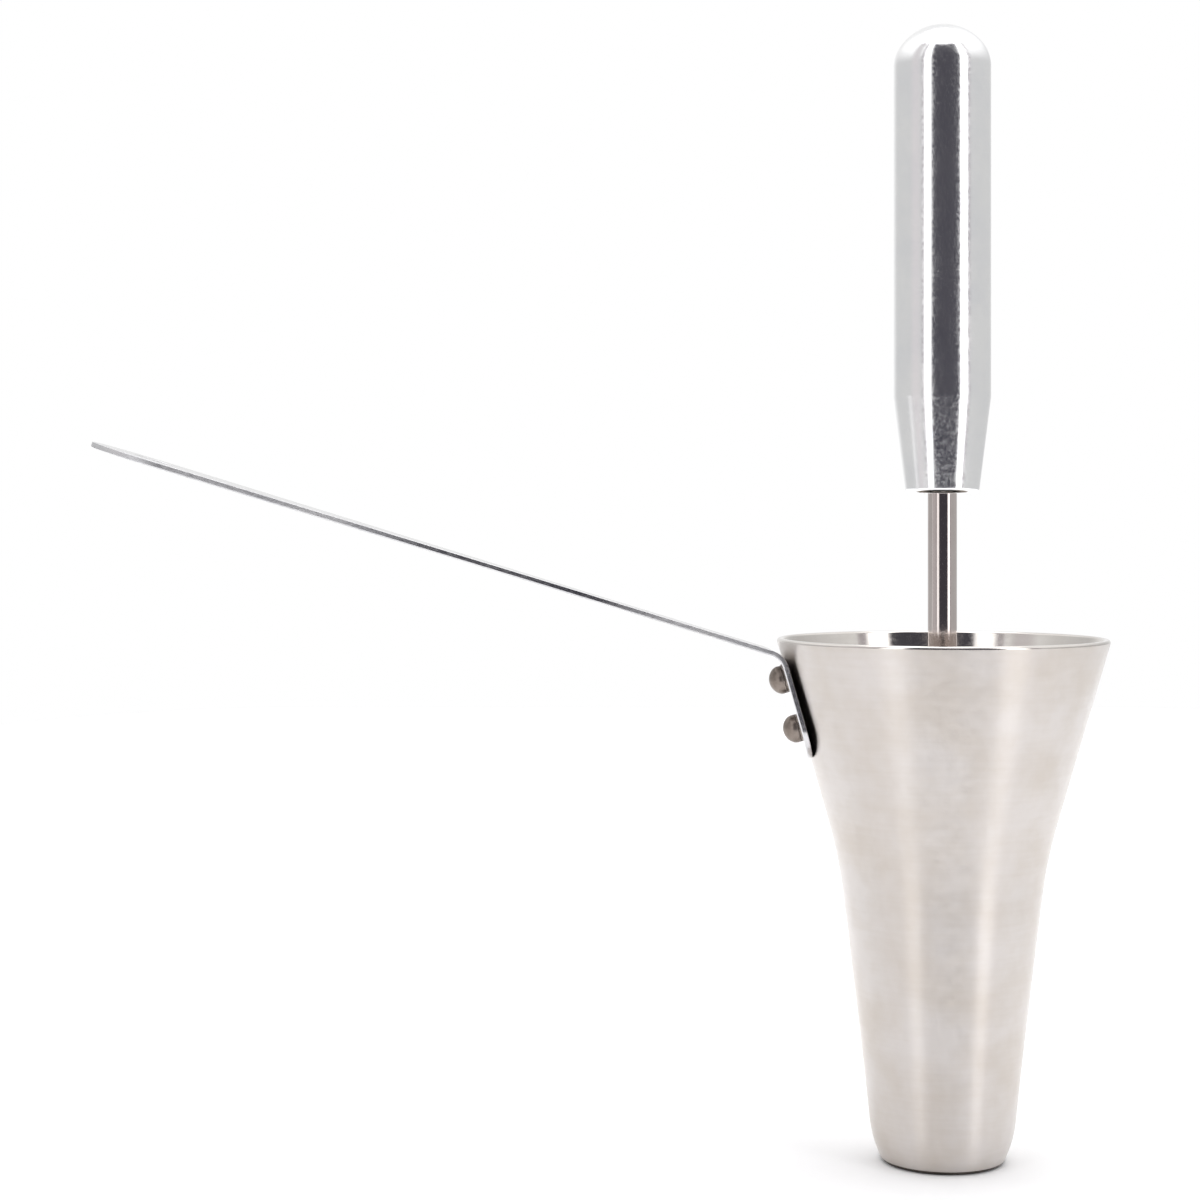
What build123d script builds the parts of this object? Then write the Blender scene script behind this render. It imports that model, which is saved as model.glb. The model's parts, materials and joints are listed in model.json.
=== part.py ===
from build123d import *
import os
from math import asin, atan2, cos, degrees, hypot, radians, sin, sqrt, tan

# A hand-held batter funnel. A flared cup of spun steel carries a flat strip handle, riveted to its side,
# and a stopper plunger stands in the cup and closes the outlet in its floor until it is lifted.
#
# Frame: millimetres, +Z up along the cup's axis, origin at the centre of the foot, handle towards -X.

# ---- Driving dimensions ------------------------------------------------------------------------------

# Cup, outside surface from the foot up. Every angle is between the side and the axis.
WALL = 1.4
FOOT_FLAT_RADIUS = 11.6
FOOT_CORNER_RADIUS = 1.3
FOOT_ANGLE = 26.0
FOOT_ARC_RADIUS = 23.6
WAIST_ANGLE = 6.1
WAIST_ARC_RADIUS = 2450.0
NECK_ANGLE = 7.2
FLARE_ARC_RADIUS = 100.0
CONE_ANGLE = 16.0
RIM_HEIGHT = 108.0
LIP_ROUND = 0.35
FLOOR_ROUND = 0.8
OUTLET_RADIUS = 6.0
OUTLET_BREAK = 0.2

# Strip handle. Places on its tab are distances down the cup's side from the rim.
STRIP_THICKNESS = 1.1
STRIP_WIDTH = 16.0
TAB_GAP = 0.02
TAB_END = 25.5
TAB_CORNER_RADIUS = 6.5
BEND_CORNER = 3.3
BEND_INNER_RADIUS = 4.0
ARM_RISE = 17.1
ARM_LENGTH = 147.3
NECK_LENGTH = 50.0
NECK_OVERLAP = 15.0
NECK_BLEND_RADIUS = 150.0
PADDLE_RADIUS = 17.0
HANG_HOLE_RADIUS = 4.5
HANG_HOLE_INSET = 13.0

# Rivets, and how far down the side each one sits.
RIVET_PLACES = {"rivet_upper": 8.5, "rivet_lower": 19.0}
RIVET_SHANK_RADIUS = 2.0
RIVET_HEAD_RADIUS = 2.9
RIVET_HEAD_LAND = 0.5
RIVET_DOME = 2.4
RIVET_SHOULDER_RADIUS = 1.9
RIVET_TAIL_RADIUS = 3.0
RIVET_TAIL = 0.9
RIVET_TAIL_ROUND = 0.4

# Plunger: rod and grip.
ROD_RADIUS = 3.0
ROD_BOTTOM = 9.0
ROD_END_BREAK = 0.4
GRIP_BOTTOM = 137.9
GRIP_LENGTH = 97.1
GRIP_RADIUS = 10.0
GRIP_END_RADIUS = 7.5
GRIP_TAPER = 20.0
GRIP_DOME = 8.8
GRIP_SHOULDER_RADIUS = 7.6
GRIP_EDGE_ROUND = 1.3
GRIP_BORE_DEPTH = 24.0

# Plunger: stopper that sits in the cup. Heights are above the table.
SEAT_GAP = 0.02
SEAL_THICKNESS = 2.0
SEAL_RADIUS = 9.5
SEAL_BORE_CLEARANCE = 0.05
SEAL_EDGE_ROUND = 0.3
GROOVE_RADIUS = 4.5
GROOVE_PLAY = 0.05
NOSE_RADIUS = 5.5
NOSE_BOTTOM = 0.35
PLUG_RADIUS = 10.5
PLUG_SIDE_TOP = 19.0
PLUG_TOP = 24.0
PLUG_TOP_RADIUS = 5.5
PLUG_EDGE_BREAK = 0.4

# Screw that holds the stopper on the rod.
SCREW_RADIUS = 2.0
SCREW_HEAD_RADIUS = 3.8
SCREW_HEAD_INSET = 0.1
SCREW_REACH_IN_ROD = 8.0
TAPPED_DEPTH = 9.0
HEX_KEY = 2.5
HEX_DEPTH = 1.3

os.makedirs("parts", exist_ok=True)


def draw_dome(edge_height, radius, rise, shoulder_radius):
    """Half outline of a dome on the Y axis: a shoulder arc off a straight side, then a crown arc."""
    shoulder_inset = radius - shoulder_radius
    crown_radius = (shoulder_inset**2 + rise**2 - shoulder_radius**2) / (2 * (rise - shoulder_radius))
    shoulder_turn = degrees(atan2(crown_radius - rise, shoulder_inset))
    shoulder = JernArc((radius, edge_height), (0, 1), shoulder_radius, shoulder_turn)
    JernArc(shoulder @ 1, shoulder % 1, crown_radius, 90 - shoulder_turn)


# ---- Cup ---------------------------------------------------------------------------------------------

with BuildPart() as funnel_body:
    with BuildSketch(Plane.XZ):
        with BuildLine():
            corner = JernArc((FOOT_FLAT_RADIUS, 0), (1, 0), FOOT_CORNER_RADIUS, 90 - FOOT_ANGLE)
            foot = JernArc(corner @ 1, corner % 1, FOOT_ARC_RADIUS, FOOT_ANGLE - WAIST_ANGLE)
            waist = JernArc(foot @ 1, foot % 1, WAIST_ARC_RADIUS, WAIST_ANGLE - NECK_ANGLE)
            flare = JernArc(waist @ 1, waist % 1, FLARE_ARC_RADIUS, NECK_ANGLE - CONE_ANGLE)
            cone_rise = RIM_HEIGHT - (flare @ 1).Y
            rim_radius = (flare @ 1).X + cone_rise * tan(radians(CONE_ANGLE))
            Line(flare @ 1, (rim_radius, RIM_HEIGHT))

            # The inside follows the outside, one wall thickness in, down to the floor.
            inward = WALL * Vector(-cos(radians(FOOT_ANGLE)), sin(radians(FOOT_ANGLE)))
            floor_corner = corner @ 1 + inward
            in_foot = JernArc(floor_corner, foot % 0, FOOT_ARC_RADIUS - WALL, FOOT_ANGLE - WAIST_ANGLE)
            in_waist = JernArc(in_foot @ 1, foot % 1, WAIST_ARC_RADIUS + WALL, WAIST_ANGLE - NECK_ANGLE)
            in_flare = JernArc(in_waist @ 1, waist % 1, FLARE_ARC_RADIUS + WALL, NECK_ANGLE - CONE_ANGLE)
            in_rim_radius = rim_radius - WALL / cos(radians(CONE_ANGLE))
            Polyline(in_flare @ 1, (in_rim_radius, RIM_HEIGHT), (rim_radius, RIM_HEIGHT))

            # Floor, with the outlet in its middle.
            Polyline(floor_corner, (OUTLET_RADIUS, floor_corner.Y), (OUTLET_RADIUS, 0), corner @ 0)
        make_face()
        fillet(vertices().sort_by(Axis.Y)[-2:], LIP_ROUND)
        fillet(vertices().sort_by_distance(floor_corner)[0], FLOOR_ROUND)
        chamfer(vertices().sort_by(Axis.X)[:2], OUTLET_BREAK)
    revolve(axis=Axis.Z)

    # The cup's side under the handle: X runs down from the rim, Z points out of the side.
    down_side = Vector(sin(radians(CONE_ANGLE)), 0, -cos(radians(CONE_ANGLE)))
    side = Plane((-rim_radius, 0, RIM_HEIGHT), x_dir=down_side, z_dir=Vector(0, 1, 0).cross(down_side))
    rivet_spots = [(down, 0) for down in RIVET_PLACES.values()]
    with BuildSketch(side):
        with Locations(*rivet_spots):
            Circle(RIVET_SHANK_RADIUS)
    extrude(amount=2 * WALL, both=True, mode=Mode.SUBTRACT)
funnel_body.part.label = "funnel_body"
export_step(funnel_body.part, "parts/funnel_body.step")

floor_top = floor_corner.Y

# ---- Strip handle ------------------------------------------------------------------------------------

strip_middle = TAB_GAP + STRIP_THICKNESS / 2
tab_plane = side.offset(strip_middle)
bend_corner = tab_plane.from_local_coords((BEND_CORNER, 0, 0))
arm_direction = Vector(-cos(radians(ARM_RISE)), 0, sin(radians(ARM_RISE)))
arm_plane = Plane(bend_corner, x_dir=arm_direction, z_dir=arm_direction.cross(Vector(0, -1, 0)))

# The paddle's straight sides run from the neck's corners, tangent to its round end.
paddle_run = ARM_LENGTH - PADDLE_RADIUS - NECK_LENGTH
paddle_reach = hypot(paddle_run, STRIP_WIDTH / 2)
paddle_side_length = sqrt(paddle_reach**2 - PADDLE_RADIUS**2)
paddle_angle = degrees(asin(PADDLE_RADIUS / paddle_reach) - atan2(STRIP_WIDTH / 2, paddle_run))

with BuildPart() as handle_strip:
    with BuildLine() as strip_path:
        FilletPolyline(
            tab_plane.from_local_coords((TAB_END, 0, 0)),
            bend_corner,
            bend_corner + NECK_LENGTH * arm_direction,
            radius=BEND_INNER_RADIUS + STRIP_THICKNESS / 2,
        )
    with BuildSketch(Plane(strip_path.line @ 0, x_dir=(0, 1, 0), z_dir=strip_path.line % 0)):
        Rectangle(STRIP_WIDTH, STRIP_THICKNESS)
    sweep(path=strip_path.line)
    tab_end_corners = edges().filter_by(Axis(bend_corner, side.z_dir)).sort_by(Axis.Z)[:2]
    fillet(tab_end_corners, TAB_CORNER_RADIUS)

    # The arm's free end widens into a paddle with a round end.
    with BuildSketch(arm_plane):
        with BuildLine():
            overlap = Line((NECK_LENGTH - NECK_OVERLAP, 0), (NECK_LENGTH - NECK_OVERLAP, STRIP_WIDTH / 2))
            neck_side = Line(overlap @ 1, (NECK_LENGTH, STRIP_WIDTH / 2))
            paddle_side = PolarLine(neck_side @ 1, paddle_side_length, paddle_angle)
            JernArc(paddle_side @ 1, paddle_side % 1, PADDLE_RADIUS, -90 - paddle_angle)
            mirror(about=Plane.XZ)
        make_face()
        fillet(vertices().filter_by_position(Axis.X, NECK_LENGTH, NECK_LENGTH), NECK_BLEND_RADIUS)
    extrude(amount=STRIP_THICKNESS / 2, both=True)
    with BuildSketch(arm_plane):
        with Locations((ARM_LENGTH - HANG_HOLE_INSET, 0)):
            Circle(HANG_HOLE_RADIUS)
    extrude(amount=STRIP_THICKNESS, both=True, mode=Mode.SUBTRACT)
    with BuildSketch(tab_plane):
        with Locations(*rivet_spots):
            Circle(RIVET_SHANK_RADIUS)
    extrude(amount=STRIP_THICKNESS, both=True, mode=Mode.SUBTRACT)
handle_strip.part.label = "handle_strip"
export_step(handle_strip.part, "parts/handle_strip.step")

# ---- Rivets ------------------------------------------------------------------------------------------

strip_face = TAB_GAP + STRIP_THICKNESS
for rivet_name, down in RIVET_PLACES.items():
    tail_plane = Plane(side.from_local_coords((down, 0, -WALL)), x_dir=side.x_dir, z_dir=-side.z_dir)
    with BuildPart() as rivet:
        # Formed tail inside the cup, shaped by the curved wall that it was pressed against.
        with BuildSketch(tail_plane):
            Circle(RIVET_TAIL_RADIUS)
        extrude(amount=RIVET_TAIL)
        fillet(faces().sort_by(Axis(tail_plane.origin, tail_plane.z_dir))[-1].edges(), RIVET_TAIL_ROUND)
        add(funnel_body.part, mode=Mode.SUBTRACT)

        # Shank and domed head, turned about the rivet's own axis: Y is the height off the cup's side.
        with BuildSketch(Plane(side.from_local_coords((down, 0, 0)), x_dir=side.y_dir, z_dir=side.x_dir)):
            with BuildLine():
                Polyline(
                    (0, strip_face + RIVET_HEAD_LAND + RIVET_DOME),
                    (0, -WALL),
                    (RIVET_SHANK_RADIUS, -WALL),
                    (RIVET_SHANK_RADIUS, strip_face),
                    (RIVET_HEAD_RADIUS, strip_face),
                    (RIVET_HEAD_RADIUS, strip_face + RIVET_HEAD_LAND),
                )
                draw_dome(strip_face + RIVET_HEAD_LAND, RIVET_HEAD_RADIUS, RIVET_DOME, RIVET_SHOULDER_RADIUS)
            make_face()
        revolve(axis=Axis(tail_plane.origin, side.z_dir))
    rivet.part.label = rivet_name
    export_step(rivet.part, f"parts/{rivet_name}.step")

# ---- Plunger: grip and rod ---------------------------------------------------------------------------

# The grip is turned from bar: a short taper, a straight grip and a domed top, bored to take the rod.
with BuildPart() as plunger_grip:
    with BuildSketch(Plane((0, 0, GRIP_BOTTOM), x_dir=(1, 0, 0), z_dir=(0, -1, 0))):
        with BuildLine():
            Polyline(
                (0, GRIP_LENGTH),
                (0, GRIP_BORE_DEPTH),
                (ROD_RADIUS, GRIP_BORE_DEPTH),
                (ROD_RADIUS, 0),
                (GRIP_END_RADIUS, 0),
                (GRIP_RADIUS, GRIP_TAPER),
                (GRIP_RADIUS, GRIP_LENGTH - GRIP_DOME),
            )
            draw_dome(GRIP_LENGTH - GRIP_DOME, GRIP_RADIUS, GRIP_DOME, GRIP_SHOULDER_RADIUS)
        make_face()
        fillet(vertices().sort_by_distance((GRIP_END_RADIUS, 0))[0], GRIP_EDGE_ROUND)
    revolve(axis=Axis.Z)
plunger_grip.part.label = "plunger_grip"
export_step(plunger_grip.part, "parts/plunger_grip.step")

with BuildPart() as plunger_rod:
    with BuildSketch(Plane.XY.offset(ROD_BOTTOM)):
        Circle(ROD_RADIUS)
    extrude(amount=GRIP_BOTTOM + GRIP_BORE_DEPTH - ROD_BOTTOM)
    chamfer(edges().filter_by(GeomType.CIRCLE), ROD_END_BREAK)
    with BuildSketch(Plane.XY.offset(ROD_BOTTOM)):
        Circle(SCREW_RADIUS)
    extrude(amount=TAPPED_DEPTH, mode=Mode.SUBTRACT)
plunger_rod.part.label = "plunger_rod"
export_step(plunger_rod.part, "parts/plunger_rod.step")

# ---- Plunger: stopper, seal and screw ----------------------------------------------------------------

seal_bottom = floor_top + SEAT_GAP
seal_top = seal_bottom + SEAL_THICKNESS
screw_head_bottom = NOSE_BOTTOM + SCREW_HEAD_INSET
screw_head_top = screw_head_bottom + SCREW_HEAD_RADIUS - SCREW_RADIUS

with BuildPart() as stopper_plug:
    with BuildSketch(Plane.XZ):
        with BuildLine():
            Polyline(
                (SCREW_HEAD_RADIUS, NOSE_BOTTOM),
                (NOSE_RADIUS, NOSE_BOTTOM),
                (NOSE_RADIUS, seal_bottom - GROOVE_PLAY),
                (GROOVE_RADIUS, seal_bottom - GROOVE_PLAY),
                (GROOVE_RADIUS, seal_top + GROOVE_PLAY),
                (PLUG_RADIUS, seal_top + GROOVE_PLAY),
                (PLUG_RADIUS, PLUG_SIDE_TOP),
                (PLUG_TOP_RADIUS, PLUG_TOP),
                (ROD_RADIUS, PLUG_TOP),
                (ROD_RADIUS, ROD_BOTTOM),
                (SCREW_RADIUS, ROD_BOTTOM),
                (SCREW_RADIUS, screw_head_top),
                (SCREW_HEAD_RADIUS, screw_head_bottom),
                close=True,
            )
        make_face()
        chamfer(vertices().sort_by_distance((NOSE_RADIUS, NOSE_BOTTOM))[0], PLUG_EDGE_BREAK / 2)
        chamfer(vertices().sort_by_distance((PLUG_RADIUS, seal_top))[0], PLUG_EDGE_BREAK)
        fillet(vertices().sort_by_distance((PLUG_RADIUS, PLUG_SIDE_TOP))[0], 2 * PLUG_EDGE_BREAK)
        fillet(vertices().sort_by_distance((PLUG_TOP_RADIUS, PLUG_TOP))[0], PLUG_EDGE_BREAK)
    revolve(axis=Axis.Z)
stopper_plug.part.label = "stopper_plug"
export_step(stopper_plug.part, "parts/stopper_plug.step")

with BuildPart() as stopper_seal:
    with BuildSketch(Plane.XY.offset(seal_bottom)):
        Circle(SEAL_RADIUS)
        Circle(GROOVE_RADIUS + SEAL_BORE_CLEARANCE, mode=Mode.SUBTRACT)
    extrude(amount=SEAL_THICKNESS)
    fillet(edges().filter_by(GeomType.CIRCLE).group_by(SortBy.RADIUS)[-1], SEAL_EDGE_ROUND)
stopper_seal.part.label = "stopper_seal"
export_step(stopper_seal.part, "parts/stopper_seal.step")

with BuildPart() as stopper_screw:
    with BuildSketch(Plane.XZ):
        with BuildLine():
            Polyline(
                (0, screw_head_bottom),
                (SCREW_HEAD_RADIUS, screw_head_bottom),
                (SCREW_RADIUS, screw_head_top),
                (SCREW_RADIUS, ROD_BOTTOM + SCREW_REACH_IN_ROD),
                (0, ROD_BOTTOM + SCREW_REACH_IN_ROD),
                close=True,
            )
        make_face()
    revolve(axis=Axis.Z)
    with BuildSketch(Plane.XY.offset(screw_head_bottom)):
        RegularPolygon(HEX_KEY / 2, 6, major_radius=False)
    extrude(amount=HEX_DEPTH, mode=Mode.SUBTRACT)
stopper_screw.part.label = "stopper_screw"
export_step(stopper_screw.part, "parts/stopper_screw.step")
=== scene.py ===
import bmesh
import bpy
import json
from math import asin, atan2, ceil, cos, degrees, hypot, pi, radians, sin, sqrt, tan
from mathutils import Matrix, Vector


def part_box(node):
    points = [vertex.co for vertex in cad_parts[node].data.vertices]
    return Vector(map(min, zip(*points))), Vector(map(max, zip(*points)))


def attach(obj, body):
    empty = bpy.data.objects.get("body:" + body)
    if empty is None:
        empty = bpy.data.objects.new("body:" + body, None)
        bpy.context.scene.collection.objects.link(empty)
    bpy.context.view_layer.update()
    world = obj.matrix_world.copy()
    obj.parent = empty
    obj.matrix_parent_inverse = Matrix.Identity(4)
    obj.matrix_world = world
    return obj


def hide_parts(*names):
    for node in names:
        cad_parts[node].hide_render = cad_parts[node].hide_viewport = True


# The looks of a batter funnel with a lift-out stopper. Outlines are drawn in millimetres in the frame's own
# axes, with the driving sizes of the CAD pieces they stand for, and become metres when a mesh is made.

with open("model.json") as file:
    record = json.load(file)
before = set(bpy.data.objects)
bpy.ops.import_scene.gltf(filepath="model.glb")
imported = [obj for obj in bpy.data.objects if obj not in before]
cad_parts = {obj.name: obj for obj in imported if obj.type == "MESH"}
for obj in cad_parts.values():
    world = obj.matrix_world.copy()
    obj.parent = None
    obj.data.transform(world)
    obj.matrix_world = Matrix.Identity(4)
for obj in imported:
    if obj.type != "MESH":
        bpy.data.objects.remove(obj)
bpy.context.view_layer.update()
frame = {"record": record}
record = frame["record"]
scene = bpy.context.scene

MM = 0.001

# ---- Driving sizes -----------------------------------------------------------------------------------

# Cup, outside surface from the foot up. Every angle is between the side and the axis.
WALL = 1.4
FOOT_FLAT_RADIUS = 11.6
FOOT_CORNER_RADIUS = 1.3
FOOT_ANGLE = 26.0
FOOT_ARC_RADIUS = 23.6
WAIST_ANGLE = 6.1
WAIST_ARC_RADIUS = 2450.0
NECK_ANGLE = 7.2
FLARE_ARC_RADIUS = 100.0
CONE_ANGLE = 16.0
LIP_ROUND = 0.6
FLOOR_ROUND = 0.8
OUTLET_RADIUS = 6.0
OUTLET_BREAK = 0.2
# Below this height the foot's corner is painted near black: a painted contact shadow where the cup meets the
# table.
FOOT_SHADE_HEIGHT = 0.9

# Strip handle. Places on its tab are distances down the cup's side from the rim.
STRIP_THICKNESS = 1.1
STRIP_WIDTH = 16.0
TAB_GAP = 0.02
TAB_END = 25.5
TAB_CORNER_RADIUS = 6.5
BEND_CORNER = 3.3
BEND_INNER_RADIUS = 4.0
BEND_ROWS = 32
ARM_RISE = 17.1
ARM_LENGTH = 147.3
NECK_LENGTH = 50.0
NECK_BLEND_RADIUS = 150.0
PADDLE_RADIUS = 17.0
HANG_HOLE_RADIUS = 4.5
HANG_HOLE_INSET = 13.0
STRIP_OUTER_ROUND = 0.32
STRIP_INNER_ROUND = 0.12
HOLE_EDGE_ROUND = 0.15

# Rivets, and how far down the side each one sits.
RIVET_PLACES = {"rivet_upper": 8.5, "rivet_lower": 19.0}
RIVET_SHANK_RADIUS = 2.0
RIVET_HEAD_RADIUS = 2.9
RIVET_HEAD_LAND = 0.5
RIVET_DOME = 2.4
RIVET_SHOULDER_RADIUS = 1.9
RIVET_TAIL_RADIUS = 3.0
RIVET_TAIL = 0.9
RIVET_TAIL_ROUND = 0.4

# Plunger: rod and grip.
ROD_RADIUS = 3.0
ROD_END_BREAK = 0.4
GRIP_RADIUS = 10.0
GRIP_END_RADIUS = 7.5
GRIP_TAPER = 20.0
GRIP_TAPER_ROUND = 0.6
GRIP_DOME = 8.8
GRIP_SHOULDER_RADIUS = 7.6
GRIP_EDGE_ROUND = 1.3
GRIP_BORE_DEPTH = 24.0
GRIP_BORE_BREAK = 0.25

# Plunger: stopper and seal. Heights are above the table.
SEAL_THICKNESS = 2.0
SEAL_RADIUS = 9.5
SEAL_BORE_CLEARANCE = 0.05
SEAL_EDGE_ROUND = 0.3
GROOVE_RADIUS = 4.5
GROOVE_PLAY = 0.05
NOSE_RADIUS = 5.5
NOSE_BREAK = 0.2
PLUG_RADIUS = 10.5
PLUG_SIDE_TOP = 19.0
PLUG_TOP_RADIUS = 5.5
PLUG_EDGE_ROUND = 0.4

# Screw that holds the stopper on the rod.
SCREW_RADIUS = 2.0
SCREW_HEAD_RADIUS = 3.8
SCREW_EDGE_ROUND = 0.1
TAPPED_DEPTH = 9.0
HEX_KEY = 2.5
HEX_DEPTH = 1.3

# Mesh fineness: the longest step of an arc, in degrees and in millimetres, the steps round an axis, round a
# small part and in a rounded edge, and the angle past which an edge is sharp.
ARC_STEP = 4.0
ARC_RUN = 1.2
TURNS = 192
SMALL_TURNS = 96
EDGE_STEPS = 6
SHARP_ANGLE = 32.0

# A point nearer the axis than the first is on it, and two places nearer than the second are the same.
ON_AXIS = 1e-4
SAME_PLACE = 1e-3


# ---- Outlines ----------------------------------------------------------------------------------------


class Pen:
    """Draws an outline of tangent arcs. The heading is in degrees, and 90 is up."""

    def __init__(self, start, heading):
        self.points = [Vector(start)]
        self.heading = heading

    def arc(self, radius, turn):
        """An arc that starts along the heading and turns left, or right for a negative turn."""
        side = 1 if turn > 0 else -1
        first = radians(self.heading - 90 * side)
        centre = self.points[-1] - radius * Vector((cos(first), sin(first)))
        steps = ceil(max(abs(turn) / ARC_STEP, radians(abs(turn)) * radius / ARC_RUN))
        for i in range(1, steps + 1):
            angle = first + radians(turn) * i / steps
            self.points.append(centre + radius * Vector((cos(angle), sin(angle))))
        self.heading += turn
        return self.points[-1]


def rounded(corners):
    """The closed outline through corners of (x, y, radius), with each corner rounded off by its radius."""
    outline = []
    for i, (x, y, radius) in enumerate(corners):
        corner = Vector((x, y))
        if radius == 0:
            outline.append(corner)
            continue
        back = (Vector(corners[i - 1][:2]) - corner).normalized()
        ahead = (Vector(corners[(i + 1) % len(corners)][:2]) - corner).normalized()
        turn = pi - back.angle(ahead)
        side = 1 if ahead.x * back.y - ahead.y * back.x > 0 else -1
        pen = Pen(corner + radius * tan(turn / 2) * back, degrees(atan2(-back.y, -back.x)))
        pen.arc(radius, side * degrees(turn))
        outline.extend(pen.points)
    return outline


def plain(points):
    """Corners for rounded() that stay as they are."""
    return [(p[0], p[1], 0) for p in points]


def dome(edge_height, radius, rise, shoulder_radius):
    """Half outline of a dome, down to up: a shoulder arc off a straight side, then a crown arc."""
    shoulder_inset = radius - shoulder_radius
    crown_radius = (shoulder_inset**2 + rise**2 - shoulder_radius**2) / (2 * (rise - shoulder_radius))
    shoulder_turn = degrees(atan2(crown_radius - rise, shoulder_inset))
    pen = Pen((radius, edge_height), 90)
    pen.arc(shoulder_radius, shoulder_turn)
    pen.arc(crown_radius, 90 - shoulder_turn)
    return pen.points


def circle(radius, x=0.0, y=0.0, steps=SMALL_TURNS):
    angles = [2 * pi * i / steps for i in range(steps)]
    return [Vector((x + radius * cos(a), y + radius * sin(a))) for a in angles]


# ---- Meshes ------------------------------------------------------------------------------------------


def lathe(outline, turns=TURNS):
    """A bmesh turned about Z from a closed outline of (radius, height) points. An outline that touches the
    axis makes a solid without a bore."""
    bm = bmesh.new()
    rings = []
    for x, z in outline:
        if x < ON_AXIS:
            rings.append([bm.verts.new((0, 0, z))])
        else:
            rings.append([bm.verts.new((*p, z)) for p in circle(x, steps=turns)])
    for low, high in zip(rings, rings[1:] + rings[:1]):
        for i in range(turns):
            j = (i + 1) % turns
            corners = [low[i % len(low)], low[j % len(low)], high[j % len(high)], high[i % len(high)]]
            corners = list(dict.fromkeys(corners))
            if len(corners) > 2:
                bm.faces.new(corners)
    bmesh.ops.recalc_face_normals(bm, faces=bm.faces)
    return bm


def new_object(name, bm):
    """An object from a bmesh in millimetres."""
    mesh = bpy.data.meshes.new(name)
    bm.to_mesh(mesh)
    bm.free()
    mesh.transform(Matrix.Scale(MM, 4))
    made = bpy.data.objects.new(name, mesh)
    scene.collection.objects.link(made)
    return made


def prism(name, outline, low, high):
    """A straight-sided solid between two heights, for cutting with."""
    bm = bmesh.new()
    bottom = [bm.verts.new((*p, low)) for p in outline]
    top = [bm.verts.new((*p, high)) for p in outline]
    bm.faces.new(bottom)
    bm.faces.new(top)
    for i, (a, b) in enumerate(zip(bottom, top)):
        bm.faces.new((bottom[i - 1], a, b, top[i - 1]))
    bmesh.ops.recalc_face_normals(bm, faces=bm.faces)
    return new_object(name, bm)


def cut(made, cutter):
    """Takes the cutter's space out of a new object's mesh."""
    step = made.modifiers.new("cut", "BOOLEAN")
    step.operation = "DIFFERENCE"
    step.solver = "EXACT"
    step.object = cutter
    whole = made.data
    bpy.context.view_layer.update()
    made.data = bpy.data.meshes.new_from_object(made.evaluated_get(bpy.context.evaluated_depsgraph_get()))
    made.data.name = whole.name
    made.data.materials.clear()
    made.modifiers.remove(step)
    bpy.data.objects.remove(cutter)
    bpy.data.meshes.remove(whole)


# ---- Pieces and the frame ----------------------------------------------------------------------------

# Places in a piece's list of materials, after its main one.
CUP_INSIDE = 1
# The cup's foot band holds the painted contact shadow.
CUP_FOOT_SHADE = 2
STRIP_EDGE = 1

# How far large faces win over small ones when shading normals are evened out, of 100.
LARGE_FACES_WIN = 100

body_of_node = {node: body for body, nodes in record["behaviour"]["bodies"].items() for node in nodes}


def stand_in(made, node, *materials):
    """Finishes a new piece: smooth with its flats kept flat, painted, and in the place of its CAD node."""
    for material in materials:
        made.data.materials.append(material)
    made.data.shade_smooth()
    made.data.set_sharp_from_angle(angle=radians(SHARP_ANGLE))
    even = made.modifiers.new("even_normals", "WEIGHTED_NORMAL")
    even.keep_sharp = True
    even.weight = LARGE_FACES_WIN
    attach(made, body_of_node[node])
    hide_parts(node)


# ---- Materials ---------------------------------------------------------------------------------------

# A colour mix has one pair of inputs for each kind of value: these are the colours', and their result.
MIX_COLOURS = (6, 7)
MIX_RESULT = 2

# Noise lies round 0.5, and most of it between these: in a metal's colour, in its roughness and in silicone.
COLOUR_NOISE = (0.38, 0.62)
ROUGHNESS_NOISE = (0.35, 0.65)
SILICONE_NOISE = (0.3, 0.7)

# How much of a metal's shading its tool marks are, and how much of its roughness its pits are. Clouds are
# the rest of both.
MARK_SHARE = 0.15
PIT_SHARE = 0.75

# A shader's rotations are in whole turns.
QUARTER_TURN = 0.25


def add(tree, kind, inputs=(), **settings):
    """A new shader node. Each input is a value, or another node's output that feeds it."""
    made = tree.nodes.new("ShaderNode" + kind)
    for key, value in settings.items():
        setattr(made, key, value)
    for key, value in dict(inputs).items():
        if isinstance(value, bpy.types.NodeSocket):
            tree.links.new(value, made.inputs[key])
        else:
            made.inputs[key].default_value = value
    return made


def calc(tree, operation, *values):
    return add(tree, "Math", enumerate(values), operation=operation).outputs[0]


def shared(tree, a, b, share):
    """The sum of two values, of which a has that share and b the rest."""
    return calc(tree, "ADD", calc(tree, "MULTIPLY", b, 1 - share), calc(tree, "MULTIPLY", a, share))


def spread(tree, value, low, high, to_low=0.0, to_high=1.0, smooth=False):
    """value moved from the range low to high to another range, and held at its ends."""
    names = ("Value", "From Min", "From Max", "To Min", "To Max")
    inputs = dict(zip(names, (value, low, high, to_low, to_high)))
    kind = "SMOOTHSTEP" if smooth else "LINEAR"
    return add(tree, "MapRange", inputs, interpolation_type=kind).outputs["Result"]


def blend(tree, share, a, b):
    """A colour between a and b."""
    made = add(tree, "Mix", {"Factor": share}, data_type="RGBA")
    for index, value in zip(MIX_COLOURS, (a, b)):
        if isinstance(value, bpy.types.NodeSocket):
            tree.links.new(value, made.inputs[index])
        else:
            made.inputs[index].default_value = (*value, 1)
    return made.outputs[MIX_RESULT]


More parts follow.
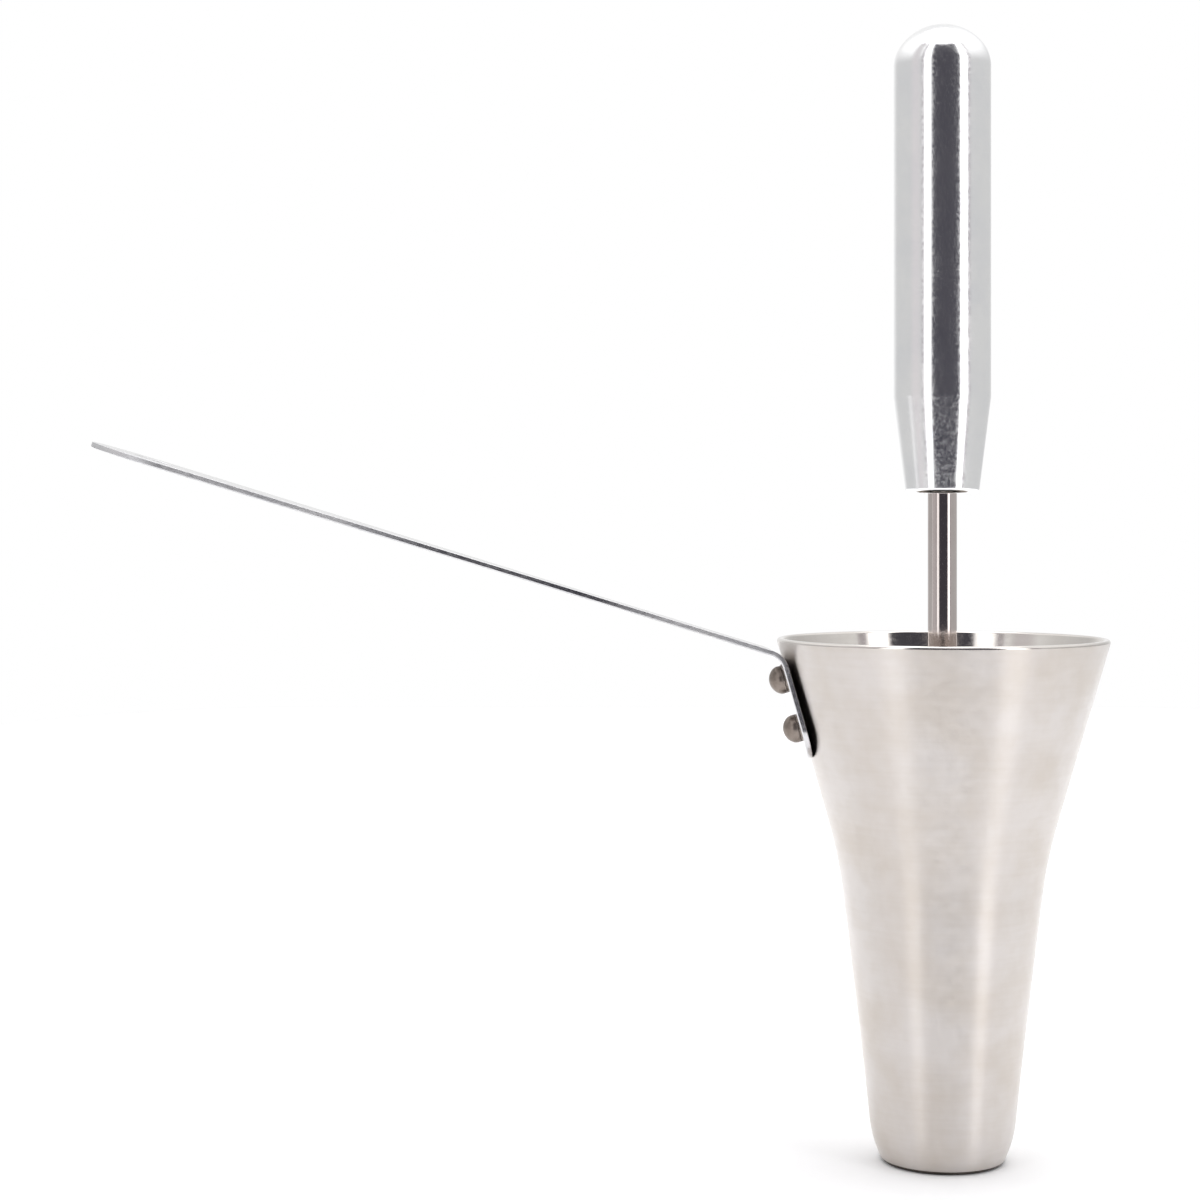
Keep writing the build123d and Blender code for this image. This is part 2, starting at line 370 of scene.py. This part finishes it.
def noise(tree, place, size, detail=2.0, roughness=0.5):
    """Noise from 0 to 1 whose grains have that size, in metres along X, Y and Z."""
    scaled = add(tree, "Mapping", {"Vector": place, "Scale": [1 / s for s in size]}).outputs[0]
    inputs = {"Vector": scaled, "Scale": 1.0, "Detail": detail, "Roughness": roughness}
    return add(tree, "TexNoise", inputs).outputs[0]


def new_material(name):
    """A new material, its node tree, its Principled shader and the piece's own coordinates."""
    material = bpy.data.materials.new(name)
    material.use_nodes = True
    tree = material.node_tree
    shader = tree.nodes["Principled BSDF"]
    place = add(tree, "TexCoord").outputs["Object"]
    return material, tree, shader, place


def metal(name, colours, roughness, marks, pits, wave=None, cloud=0.014, stretch=0.0, along=None, dull=()):
    """Worked metal. Faint clouds of the size cloud and the tool marks shade it from the first colour to the
    second, and the pits and the clouds move its roughness from the first value to the second. marks are the
    tool marks, pits the grain between them and wave the slow unevenness of the wall, each as (size along X, Y
    and Z, depth) in metres.
    stretch is how far highlights are drawn out across the marks, which run round the Z axis. along names a
    point attribute that holds coordinates along the piece, and dull lists (start, end, gain): between those
    two places along the piece its roughness changes by gain, and keeps that change."""
    material, tree, shader, place = new_material(name)
    if along:
        place = add(tree, "Attribute", attribute_name=along).outputs["Vector"]
    mark = noise(tree, place, marks[0])
    pit = noise(tree, place, pits[0])
    stain = noise(tree, place, (cloud,) * 3, detail=4.0, roughness=0.55)
    shade = shared(tree, mark, stain, MARK_SHARE)
    tree.links.new(blend(tree, spread(tree, shade, *COLOUR_NOISE), *colours), shader.inputs["Base Color"])
    rough = spread(tree, shared(tree, pit, stain, PIT_SHARE), *ROUGHNESS_NOISE, *roughness)
    for start, end, gain in dull:
        run = add(tree, "SeparateXYZ", {"Vector": place}).outputs["X"]
        rough = calc(tree, "ADD", rough, spread(tree, run, start, end, 0.0, gain, smooth=True))
    tree.links.new(rough, shader.inputs["Roughness"])
    mark_height = calc(tree, "MULTIPLY", mark, marks[1])
    height = calc(tree, "ADD", mark_height, calc(tree, "MULTIPLY", pit, pits[1]))
    if wave:
        slow = noise(tree, place, wave[0], detail=1.0)
        height = calc(tree, "ADD", height, calc(tree, "MULTIPLY", slow, wave[1]))
    bump = add(tree, "Bump", {"Height": height, "Distance": 1.0, "Strength": 1.0})
    tree.links.new(bump.outputs[0], shader.inputs["Normal"])
    shader.inputs["Metallic"].default_value = 1.0
    if stretch:
        shader.inputs["Anisotropic"].default_value = stretch
        shader.inputs["Anisotropic Rotation"].default_value = QUARTER_TURN
        turned = add(tree, "Tangent", direction_type="RADIAL", axis="Z")
        tree.links.new(turned.outputs[0], shader.inputs["Tangent"])
    return material


def silicone(name, colour, dust, roughness, grain, cloud, glow, glow_depth):
    """Moulded silicone rubber. Dust, in clouds of the size cloud, leaves that share of its colour. Its grain
    is (size, depth) in metres, and glow is how much light goes glow_depth into it and comes back."""
    material, tree, shader, place = new_material(name)
    fine = noise(tree, place, (grain[0],) * 3, detail=3.0)
    stain = noise(tree, place, (cloud,) * 3, detail=3.0)
    dusty = [c * dust for c in colour]
    shade = blend(tree, spread(tree, stain, *SILICONE_NOISE), dusty, colour)
    tree.links.new(shade, shader.inputs["Base Color"])
    tree.links.new(spread(tree, fine, *SILICONE_NOISE, *roughness), shader.inputs["Roughness"])
    bump = add(tree, "Bump", {"Height": fine, "Distance": grain[1]})
    tree.links.new(bump.outputs[0], shader.inputs["Normal"])
    shader.inputs["Subsurface Weight"].default_value = glow
    shader.inputs["Subsurface Radius"].default_value = glow_depth
    shader.inputs["Subsurface Scale"].default_value = 1.0
    return material


def paper(name, colours, fibre, roughness, gloss):
    """The pale sheet under the object, shaded from the first colour to the second by fibres of that size."""
    material, tree, shader, place = new_material(name)
    shade = blend(tree, noise(tree, place, (fibre,) * 3, detail=3.0), *colours)
    tree.links.new(shade, shader.inputs["Base Color"])
    shader.inputs["Roughness"].default_value = roughness
    shader.inputs["Specular IOR Level"].default_value = gloss
    return material


# Each roughness range lies wholly above 0.28 or wholly below 0.27: a denoiser treats the two sides of that
# value differently, so a range across it shows as specks.
spun_steel = metal(
    "spun_steel",
    colours=((0.59, 0.542, 0.498), (0.65, 0.613, 0.588)),
    roughness=(0.285, 0.335),
    marks=((0.012, 0.012, 0.0008), 0.3e-6),
    pits=((0.0025, 0.0025, 0.0015), 0.5e-6),
    wave=((0.016, 0.016, 0.03), 6e-5),
    stretch=0.9,
)
polished_steel = metal(
    "polished_steel",
    colours=((0.66, 0.625, 0.59), (0.72, 0.69, 0.66)),
    roughness=(0.08, 0.16),
    marks=((0.015, 0.015, 0.0006), 0.5e-6),
    pits=((0.001, 0.001, 0.0008), 0.5e-6),
    wave=((0.016, 0.016, 0.03), 2e-5),
    stretch=0.4,
)
# Painted shade: near-black rough steel on the foot's corner, painted in place of the contact shadow and its
# reflection at the table.
foot_painted_shade = metal(
    "foot_painted_shade",
    colours=((0.10, 0.085, 0.075), (0.16, 0.14, 0.125)),
    roughness=(0.4, 0.6),
    marks=((0.004, 0.004, 0.0004), 2e-6),
    pits=((0.0005, 0.0005, 0.0005), 3e-6),
)
strip_steel = metal(
    "strip_steel",
    colours=((0.69, 0.685, 0.69), (0.75, 0.745, 0.75)),
    roughness=(0.10, 0.2),
    marks=((0.012, 0.0003, 0.0003), 1e-6),
    pits=((0.0008, 0.0006, 0.0006), 1e-6),
    along="flat_place",
)
strip_edge_steel = metal(
    "strip_edge_steel",
    colours=((0.60, 0.60, 0.615), (0.68, 0.675, 0.68)),
    roughness=(0.16, 0.26),
    marks=((0.008, 0.0003, 0.0003), 1.5e-6),
    pits=((0.0012, 0.0006, 0.0006), 1.5e-6),
    along="flat_place",
    dull=((0.017, 0.025, 0.22), (0.048, 0.062, -0.22), (0.09, 0.12, 0.26)),
)
rivet_steel = metal(
    "rivet_steel",
    colours=((0.205, 0.17, 0.145), (0.30, 0.255, 0.225)),
    roughness=(0.3, 0.44),
    marks=((0.002, 0.002, 0.0004), 2e-6),
    pits=((0.0005, 0.0005, 0.0005), 4e-6),
    cloud=0.002,
)
grip_aluminium = metal(
    "grip_aluminium",
    colours=((0.87, 0.875, 0.89), (0.92, 0.92, 0.92)),
    roughness=(0.10, 0.24),
    marks=((0.006, 0.006, 0.0004), 0.4e-6),
    pits=((0.0005, 0.0005, 0.0007), 2.5e-6),
    cloud=0.01,
)
rod_steel = metal(
    "rod_steel",
    colours=((0.53, 0.475, 0.455), (0.59, 0.54, 0.52)),
    roughness=(0.06, 0.14),
    marks=((0.0003, 0.0003, 0.02), 0.5e-6),
    pits=((0.0006, 0.0006, 0.0006), 0.6e-6),
)
turned_steel = metal(
    "turned_steel",
    colours=((0.56, 0.54, 0.51), (0.64, 0.62, 0.59)),
    roughness=(0.18, 0.26),
    marks=((0.008, 0.008, 0.00025), 1.5e-6),
    pits=((0.0006, 0.0006, 0.0006), 1e-6),
    stretch=0.5,
)
screw_steel = metal(
    "screw_steel",
    colours=((0.46, 0.45, 0.43), (0.58, 0.57, 0.55)),
    roughness=(0.20, 0.27),
    marks=((0.003, 0.003, 0.0003), 1.5e-6),
    pits=((0.0005, 0.0005, 0.0005), 1.5e-6),
    cloud=0.002,
)
seal_silicone = silicone(
    "seal_silicone",
    colour=(0.80, 0.79, 0.75),
    dust=0.88,
    roughness=(0.42, 0.58),
    grain=(0.0004, 8e-6),
    cloud=0.006,
    glow=0.25,
    glow_depth=(0.002, 0.002, 0.0016),
)
floor_paper = paper(
    "paper",
    colours=((0.92, 0.92, 0.926), (0.94, 0.94, 0.944)),
    fibre=0.0015,
    roughness=0.7,
    gloss=0.2,
)

# ---- Cup ---------------------------------------------------------------------------------------------

rim_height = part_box("funnel_body")[1].z / MM
outside = Pen((FOOT_FLAT_RADIUS, 0), 0)
corner_end = outside.arc(FOOT_CORNER_RADIUS, 90 - FOOT_ANGLE)
outside.arc(FOOT_ARC_RADIUS, FOOT_ANGLE - WAIST_ANGLE)
outside.arc(WAIST_ARC_RADIUS, WAIST_ANGLE - NECK_ANGLE)
flare_end = outside.arc(FLARE_ARC_RADIUS, NECK_ANGLE - CONE_ANGLE)
rim_radius = flare_end.x + (rim_height - flare_end.y) * tan(radians(CONE_ANGLE))
inside_rim_radius = rim_radius - WALL / cos(radians(CONE_ANGLE))

floor_corner = corner_end + WALL * Vector((-cos(radians(FOOT_ANGLE)), sin(radians(FOOT_ANGLE))))
inside = Pen(floor_corner, 90 - FOOT_ANGLE)
inside.arc(FOOT_ARC_RADIUS - WALL, FOOT_ANGLE - WAIST_ANGLE)
inside.arc(WAIST_ARC_RADIUS + WALL, WAIST_ANGLE - NECK_ANGLE)
inside.arc(FLARE_ARC_RADIUS + WALL, NECK_ANGLE - CONE_ANGLE)

# The side under the handle: the directions down it and out of it, and its point at the rim.
down_side = Vector((sin(radians(CONE_ANGLE)), 0, -cos(radians(CONE_ANGLE))))
out_of_side = Vector((-cos(radians(CONE_ANGLE)), 0, -sin(radians(CONE_ANGLE))))
rim_point = Vector((-rim_radius, 0, rim_height))


def side_place(down):
    """The place on the cup's side, that far down it from the rim, with Z out of the side."""
    axes = Matrix((down_side, out_of_side.cross(down_side), out_of_side)).transposed().to_4x4()
    return Matrix.Translation(MM * (rim_point + down * down_side)) @ axes


def make_cup():
    """The cup, with its inside and its lip polished, and a painted contact shadow, dark and rough, round its
    foot.
    """
    corners = plain(outside.points)
    corners.append((rim_radius, rim_height, LIP_ROUND))
    corners.append((inside_rim_radius, rim_height, LIP_ROUND))
    corners.extend(plain(reversed(inside.points[1:])))
    corners.append((*floor_corner, FLOOR_ROUND))
    corners.append((OUTLET_RADIUS, floor_corner.y, OUTLET_BREAK))
    corners.append((OUTLET_RADIUS, 0, OUTLET_BREAK))
    cup = new_object("spun_cup", lathe(rounded(corners)))
    for down in RIVET_PLACES.values():
        hole = prism("rivet_hole", circle(RIVET_SHANK_RADIUS), -2 * WALL, 2 * WALL)
        hole.matrix_world = side_place(down)
        cut(cup, hole)
    stand_in(cup, "funnel_body", spun_steel, polished_steel, foot_painted_shade)
    for face in cup.data.polygons:
        height = face.center.z / MM
        faces_in = face.center.xy.dot(face.normal.xy) < 0 and height > floor_corner.y / 2
        if faces_in or height > rim_height - LIP_ROUND:
            face.material_index = CUP_INSIDE
        # Faces low on the foot get the painted contact shadow.
        elif height < FOOT_SHADE_HEIGHT:
            face.material_index = CUP_FOOT_SHADE


make_cup()

# ---- Strip handle ------------------------------------------------------------------------------------

# The strip is made flat, as (distance along it from the tab's end, distance across it, height off its
# middle), and then bent: the tab's outer face is the one at positive heights.
arm_direction = Vector((-cos(radians(ARM_RISE)), 0, sin(radians(ARM_RISE))))
bend_turn = (-down_side).angle(arm_direction)
bend_radius = BEND_INNER_RADIUS + STRIP_THICKNESS / 2
bend_reach = bend_radius * tan(bend_turn / 2)
tab_run = TAB_END - BEND_CORNER - bend_reach
arm_start = tab_run + bend_radius * bend_turn
bend_rows = [tab_run + (arm_start - tab_run) * i / BEND_ROWS for i in range(BEND_ROWS + 1)]


def along_arm(length):
    """Distance along the flat strip of a place on the arm, that far from the bend's corner."""
    return arm_start + length - bend_reach


def strip_outline():
    """The flat strip's closed outline: it runs out along the side at positive distances across."""
    half = STRIP_WIDTH / 2
    run = ARM_LENGTH - PADDLE_RADIUS - NECK_LENGTH
    reach = hypot(run, half)
    widening = asin(PADDLE_RADIUS / reach) - atan2(half, run)
    side_length = sqrt(reach**2 - PADDLE_RADIUS**2)
    neck = Vector((along_arm(NECK_LENGTH), half))
    end = Pen(neck + side_length * Vector((cos(widening), sin(widening))), degrees(widening))
    end.arc(PADDLE_RADIUS, -90 - degrees(widening))
    corners = [(0, half, TAB_CORNER_RADIUS)]
    corners.extend((row, half, 0) for row in bend_rows)
    corners.append((*neck, NECK_BLEND_RADIUS))
    corners.extend(plain(end.points))
    mirrored = [(x, -y, radius) for x, y, radius in reversed(corners[:-1])]
    return rounded(corners + mirrored)


def edge_rings(bm, loop, outer_round, inner_round):
    """Quads round the edge of a plate, over its rounded corners, from the tab's outer face to its inner one.
    Returns the border that it leaves on each face."""
    count = len(loop)
    inward = []
    for i in range(count):
        step = (loop[(i + 1) % count] - loop[i - 1]).normalized()
        inward.append(Vector((step.y, -step.x)))
    places = []
    for corner_round, side in ((outer_round, 1), (inner_round, -1)):
        angles = [pi / 2 * k / EDGE_STEPS for k in range(EDGE_STEPS + 1)]
        for angle in angles if side > 0 else reversed(angles):
            height = STRIP_THICKNESS / 2 - corner_round * (1 - cos(angle))
            places.append((corner_round * (1 - sin(angle)), side * height))
    rings = []
    for inset, height in places:
        rings.append([bm.verts.new((*(p + inset * n), height)) for p, n in zip(loop, inward)])
    for upper, lower in zip(rings, rings[1:]):
        for i in range(count):
            face = bm.faces.new((upper[i - 1], upper[i], lower[i], lower[i - 1]))
            face.material_index = STRIP_EDGE
    return rings[0], rings[-1]


def fill_face(bm, border, holes):
    """Fills one face of the flat strip: a row of quads over the bend, and triangles over the flats."""
    near, far = {}, {}
    for v in border:
        for k, row in enumerate(bend_rows):
            if abs(v.co.x - row) < SAME_PLACE:
                (near if v.co.y < 0 else far)[k] = v
    for k in range(BEND_ROWS):
        bm.faces.new((near[k], near[k + 1], far[k + 1], far[k]))
    loops = [(border[i - 1], border[i]) for i in range(len(border))]
    for hole in holes:
        loops.extend((hole[i - 1], hole[i]) for i in range(len(hole)))
    tab = [pair for pair in loops if max(v.co.x for v in pair) < tab_run + SAME_PLACE]
    arm = [pair for pair in loops if min(v.co.x for v in pair) > arm_start - SAME_PLACE]
    tab.append((near[0], far[0]))
    arm.append((near[BEND_ROWS], far[BEND_ROWS]))
    for pairs in (tab, arm):
        edges = [bm.edges.get(pair) for pair in pairs]
        bmesh.ops.triangle_fill(bm, use_beauty=True, use_dissolve=False, edges=edges)


def bend(place):
    """Where a point of the flat strip is on the bent one."""
    along, across, height = place
    tab_top = rim_point + (BEND_CORNER + bend_reach) * down_side
    tab_top += (TAB_GAP + STRIP_THICKNESS / 2) * out_of_side
    turned = min(max((along - tab_run) / bend_radius, 0), bend_turn)
    onward = cos(turned) * -down_side + sin(turned) * out_of_side
    outward = cos(turned) * out_of_side + sin(turned) * down_side
    straight = along - tab_run if along < tab_run else max(along - arm_start, 0)
    centre = tab_top + bend_radius * out_of_side
    return centre + (height - bend_radius) * outward + straight * onward + Vector((0, across, 0))


def make_strip():
    bm = bmesh.new()
    borders = [edge_rings(bm, strip_outline(), STRIP_OUTER_ROUND, STRIP_INNER_ROUND)]
    holes = [circle(RIVET_SHANK_RADIUS, TAB_END - down) for down in RIVET_PLACES.values()]
    holes.append(circle(HANG_HOLE_RADIUS, along_arm(ARM_LENGTH - HANG_HOLE_INSET)))
    borders.extend(edge_rings(bm, hole, HOLE_EDGE_ROUND, HOLE_EDGE_ROUND) for hole in holes)
    for side in (0, 1):
        border, *hole_borders = [pair[side] for pair in borders]
        fill_face(bm, border, hole_borders)
    bmesh.ops.recalc_face_normals(bm, faces=bm.faces)
    flat_places = [v.co.copy() for v in bm.verts]
    for v in bm.verts:
        v.co = bend(v.co)
    strip = new_object("bent_strip", bm)
    flat = strip.data.attributes.new("flat_place", "FLOAT_VECTOR", "POINT")
    for value, place in zip(flat.data, flat_places):
        value.vector = MM * place
    stand_in(strip, "handle_strip", strip_steel, strip_edge_steel)


make_strip()

# ---- Rivets ------------------------------------------------------------------------------------------


def make_rivet(node, down):
    """A round-head rivet: its tail is inside the cup, and its head is on the strip's tab."""
    face = TAB_GAP + STRIP_THICKNESS
    corners = [
        (0, -WALL - RIVET_TAIL, 0),
        (RIVET_TAIL_RADIUS, -WALL - RIVET_TAIL, RIVET_TAIL_ROUND),
        (RIVET_TAIL_RADIUS, -WALL, 0),
        (RIVET_SHANK_RADIUS, -WALL, 0),
        (RIVET_SHANK_RADIUS, face, 0),
        (RIVET_HEAD_RADIUS, face, RIVET_HEAD_LAND / 3),
    ]
    corners.extend(plain(dome(face + RIVET_HEAD_LAND, RIVET_HEAD_RADIUS, RIVET_DOME, RIVET_SHOULDER_RADIUS)))
    rivet = new_object("headed_" + node, lathe(rounded(corners), turns=SMALL_TURNS))
    rivet.matrix_world = side_place(down)
    stand_in(rivet, node, rivet_steel)


for node, down in RIVET_PLACES.items():
    make_rivet(node, down)

# ---- Plunger -----------------------------------------------------------------------------------------

grip_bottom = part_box("plunger_grip")[0].z / MM
grip_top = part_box("plunger_grip")[1].z / MM
rod_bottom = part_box("plunger_rod")[0].z / MM
nose_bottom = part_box("stopper_plug")[0].z / MM
plug_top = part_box("stopper_plug")[1].z / MM
seal_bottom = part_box("stopper_seal")[0].z / MM
screw_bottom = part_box("stopper_screw")[0].z / MM
screw_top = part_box("stopper_screw")[1].z / MM
bore_top = grip_bottom + GRIP_BORE_DEPTH
seal_top = seal_bottom + SEAL_THICKNESS
screw_neck = screw_bottom + SCREW_HEAD_RADIUS - SCREW_RADIUS


def make_grip():
    corners = [
        (0, bore_top, 0),
        (ROD_RADIUS, bore_top, 0),
        (ROD_RADIUS, grip_bottom, GRIP_BORE_BREAK),
        (GRIP_END_RADIUS, grip_bottom, GRIP_EDGE_ROUND),
        (GRIP_RADIUS, grip_bottom + GRIP_TAPER, GRIP_TAPER_ROUND),
    ]
    corners.extend(plain(dome(grip_top - GRIP_DOME, GRIP_RADIUS, GRIP_DOME, GRIP_SHOULDER_RADIUS)))
    stand_in(new_object("turned_grip", lathe(rounded(corners))), "plunger_grip", grip_aluminium)


def make_rod():
    corners = [
        (0, rod_bottom + TAPPED_DEPTH, 0),
        (SCREW_RADIUS, rod_bottom + TAPPED_DEPTH, 0),
        (SCREW_RADIUS, rod_bottom, 0),
        (ROD_RADIUS, rod_bottom, ROD_END_BREAK),
        (ROD_RADIUS, bore_top, ROD_END_BREAK),
        (0, bore_top, 0),
    ]
    stand_in(new_object("drawn_rod", lathe(rounded(corners))), "plunger_rod", rod_steel)


def make_stopper():
    corners = [
        (SCREW_HEAD_RADIUS, nose_bottom, NOSE_BREAK / 2),
        (NOSE_RADIUS, nose_bottom, NOSE_BREAK),
        (NOSE_RADIUS, seal_bottom - GROOVE_PLAY, NOSE_BREAK / 2),
        (GROOVE_RADIUS, seal_bottom - GROOVE_PLAY, 0),
        (GROOVE_RADIUS, seal_top + GROOVE_PLAY, 0),
        (PLUG_RADIUS, seal_top + GROOVE_PLAY, PLUG_EDGE_ROUND),
        (PLUG_RADIUS, PLUG_SIDE_TOP, 2 * PLUG_EDGE_ROUND),
        (PLUG_TOP_RADIUS, plug_top, PLUG_EDGE_ROUND),
        (ROD_RADIUS, plug_top, 0),
        (ROD_RADIUS, rod_bottom, 0),
        (SCREW_RADIUS, rod_bottom, 0),
        (SCREW_RADIUS, screw_neck, 0),
        (SCREW_HEAD_RADIUS, screw_bottom, 0),
    ]
    stand_in(new_object("turned_stopper", lathe(rounded(corners))), "stopper_plug", turned_steel)


def make_seal():
    bore = GROOVE_RADIUS + SEAL_BORE_CLEARANCE
    corners = [
        (bore, seal_bottom, SEAL_EDGE_ROUND / 2),
        (SEAL_RADIUS, seal_bottom, SEAL_EDGE_ROUND),
        (SEAL_RADIUS, seal_top, SEAL_EDGE_ROUND),
        (bore, seal_top, SEAL_EDGE_ROUND / 2),
    ]
    stand_in(new_object("moulded_seal", lathe(rounded(corners))), "stopper_seal", seal_silicone)


def make_screw():
    corners = [
        (0, screw_bottom, 0),
        (SCREW_HEAD_RADIUS, screw_bottom, SCREW_EDGE_ROUND),
        (SCREW_RADIUS, screw_neck, 0),
        (SCREW_RADIUS, screw_top, 2 * SCREW_EDGE_ROUND),
        (0, screw_top, 0),
    ]
    screw = new_object("socket_screw", lathe(rounded(corners), turns=SMALL_TURNS))
    hexagon = circle(HEX_KEY / sqrt(3), steps=6)
    cut(screw, prism("hex_key", hexagon, screw_bottom - HEX_DEPTH, screw_bottom + HEX_DEPTH))
    stand_in(screw, "stopper_screw", screw_steel)


make_grip()
make_rod()
make_stopper()
make_seal()
make_screw()

# ---- Floor, light and camera -------------------------------------------------------------------------

# The view is a level camera in front, turned a little towards the handle's side. Places are in metres, and
# the sensor and the lens in millimetres.
VIEW_TURN = 2.0
CAMERA_DISTANCE = 0.507
CAMERA_SIDE = -0.0709
CAMERA_HEIGHT = 0.1329
SENSOR_WIDTH = 36.0
LENS = 73.44
VIEW_SHIFT = -0.0685
CLIP_START = 0.01

# The floor's edges in metres, from the object's axis.
FLOOR_SIDE = 0.46
FLOOR_BACK = 1.2
FLOOR_FRONT = 0.42
FLOOR_CORNER = 0.2

# The studio is a white tent. Azimuths are in degrees from the camera's side, positive to the right, and
# elevations in degrees up. The tent's light grows between two elevations, changes to the backdrop's between
# two azimuths either side, and to the overhead light's between two elevations.
TENT_RISE = (8, 38)
TENT_LOW = (0.65, 0.65, 0.65)
TENT_HIGH = (1.18, 1.18, 1.18)
BACKDROP_START = (140, 170)
BACKDROP = (0.93, 0.93, 0.93)
OVERHEAD_START = (56, 66)
OVERHEAD = (3.1, 3.1, 3.12)
SEEN_WHITE = (1.0, 1.0, 1.0)

# What stands in front of the tent, the farthest first: azimuths of its sides, elevation of its top, softness
# of its edges, and light. A grey flat is on the left, and a grey frame with a dark opening in it is on the
# camera's side, with a tall soft box each side of the opening.
STANDING = {
    "left_flat": (-84, -64, 65, 6.0, (0.71, 0.68, 0.69)),
    "frame": (-58, 62, 65, 2.0, (0.5, 0.47, 0.49)),
    "opening": (-33, 34, 57, 2.0, (0.075, 0.072, 0.086)),
    "left_box": (-51, -34, 65, 2.0, (1.75, 1.75, 1.75)),
    "right_box": (36, 53, 65, 2.0, (2.5, 2.5, 2.5)),
}

turn_to_view = Matrix.Rotation(radians(-VIEW_TURN), 4, "Z")


def make_floor():
    """A pale sheet with round corners that ends a little in front of the object and runs behind it."""
    corners = [
        (-FLOOR_SIDE, -FLOOR_FRONT, FLOOR_CORNER),
        (FLOOR_SIDE, -FLOOR_FRONT, FLOOR_CORNER),
        (FLOOR_SIDE, FLOOR_BACK, FLOOR_CORNER),
        (-FLOOR_SIDE, FLOOR_BACK, FLOOR_CORNER),
    ]
    bm = bmesh.new()
    bm.faces.new([bm.verts.new((*p / MM, 0)) for p in rounded(corners)])
    floor = new_object("floor", bm)
    floor.data.materials.append(floor_paper)
    floor.matrix_world = turn_to_view


def make_light():
    """The studio, as light by direction. The camera itself sees plain white."""
    world = bpy.data.worlds.new("tent")
    world.use_nodes = True
    scene.world = world
    tree = world.node_tree
    direction = add(tree, "TexCoord").outputs["Generated"]
    turned = {"Vector": direction, "Angle": radians(VIEW_TURN)}
    turned = add(tree, "VectorRotate", turned, rotation_type="Z_AXIS").outputs[0]
    axes = add(tree, "SeparateXYZ", {"Vector": turned}).outputs
    to_degrees = degrees(1)
    forward = calc(tree, "MULTIPLY", axes["Y"], -1.0)
    azimuth = calc(tree, "MULTIPLY", calc(tree, "ARCTAN2", axes["X"], forward), to_degrees)
    elevation = calc(tree, "MULTIPLY", calc(tree, "ARCSINE", axes["Z"]), to_degrees)

    def panel(left, right, top, edge):
        """1 between two azimuths and below an elevation, and 0 outside, with soft edges."""
        past_left = spread(tree, azimuth, left - edge, left + edge, smooth=True)
        before_right = spread(tree, azimuth, right - edge, right + edge, 1.0, 0.0, smooth=True)
        below_top = spread(tree, elevation, top - edge, top + edge, 1.0, 0.0, smooth=True)
        return calc(tree, "MULTIPLY", calc(tree, "MULTIPLY", past_left, before_right), below_top)

    lit = blend(tree, spread(tree, elevation, *TENT_RISE, smooth=True), TENT_LOW, TENT_HIGH)
    behind = spread(tree, calc(tree, "ABSOLUTE", azimuth), *BACKDROP_START, smooth=True)
    lit = blend(tree, behind, lit, BACKDROP)
    for left, right, top, edge, light in STANDING.values():
        lit = blend(tree, panel(left, right, top, edge), lit, light)
    lit = blend(tree, spread(tree, elevation, *OVERHEAD_START, smooth=True), lit, OVERHEAD)
    seen = add(tree, "LightPath").outputs["Is Camera Ray"]
    tree.links.new(blend(tree, seen, lit, SEEN_WHITE), tree.nodes["Background"].inputs["Color"])


def make_camera():
    data = bpy.data.cameras.new("camera")
    data.sensor_width = SENSOR_WIDTH
    data.lens = LENS
    data.shift_y = VIEW_SHIFT
    data.clip_start = CLIP_START
    camera = bpy.data.objects.new("camera", data)
    place = Matrix.Translation((CAMERA_SIDE, -CAMERA_DISTANCE, CAMERA_HEIGHT))
    camera.matrix_world = turn_to_view @ place @ Matrix.Rotation(radians(90), 4, "X")
    scene.collection.objects.link(camera)
    scene.camera = camera


make_floor()
make_light()
make_camera()
scene.view_settings.view_transform = "Standard"
